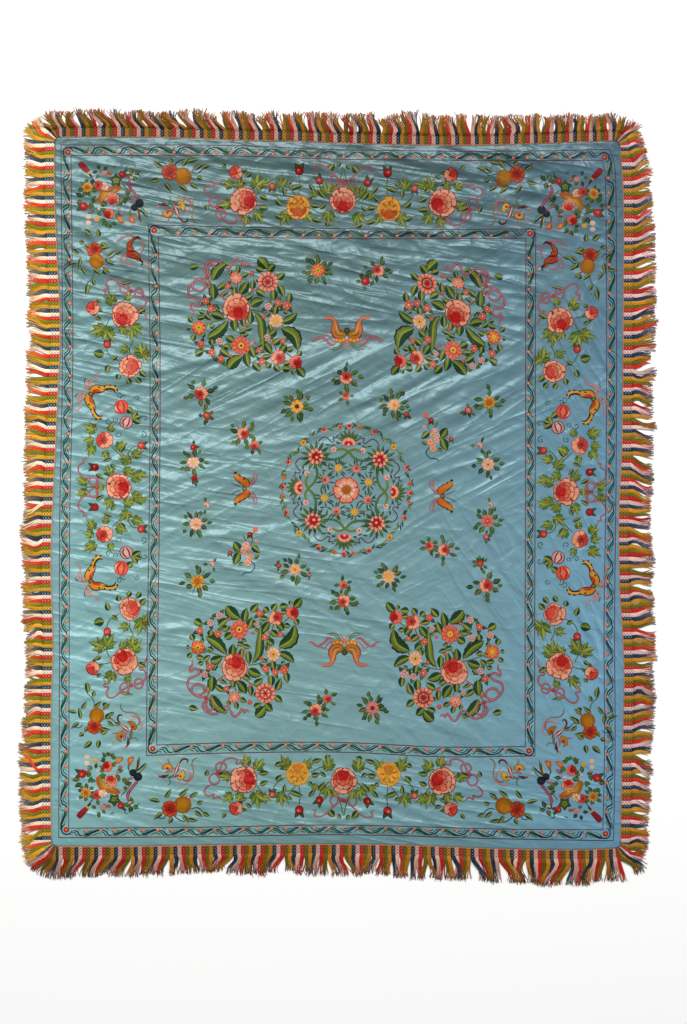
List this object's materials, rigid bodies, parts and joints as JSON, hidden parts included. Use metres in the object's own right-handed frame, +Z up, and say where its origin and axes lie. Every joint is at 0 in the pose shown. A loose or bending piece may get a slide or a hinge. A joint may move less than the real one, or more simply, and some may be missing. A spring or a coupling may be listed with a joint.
{
  "type": "manila shawl",
  "caption": "Embroidered silk shawl laid flat, a large softly wrinkled rectangle with a short braided fringe on all four sides.",
  "frame": {"origin": "on the surface that the shawl lies on, under the middle of the fringe's outline", "axes": "+X to the right across the shawl, +Y along it to the end with the flatter fringe corner, +Z up out of the embroidered face"},
  "size_m": [1.6869, 2.0588, 0.0097],
  "materials": {
    "silk": "satin",
    "fringe_floss": "silk floss, five colours in turn",
    "embroidery_floss": "silk floss"
  },
  "bodies": {
    "root": {"ground": "silk", "fringe_top": "fringe_floss", "fringe_right": "fringe_floss", "fringe_bottom": "fringe_floss", "fringe_left": "fringe_floss"}
  },
  "joints": []
}
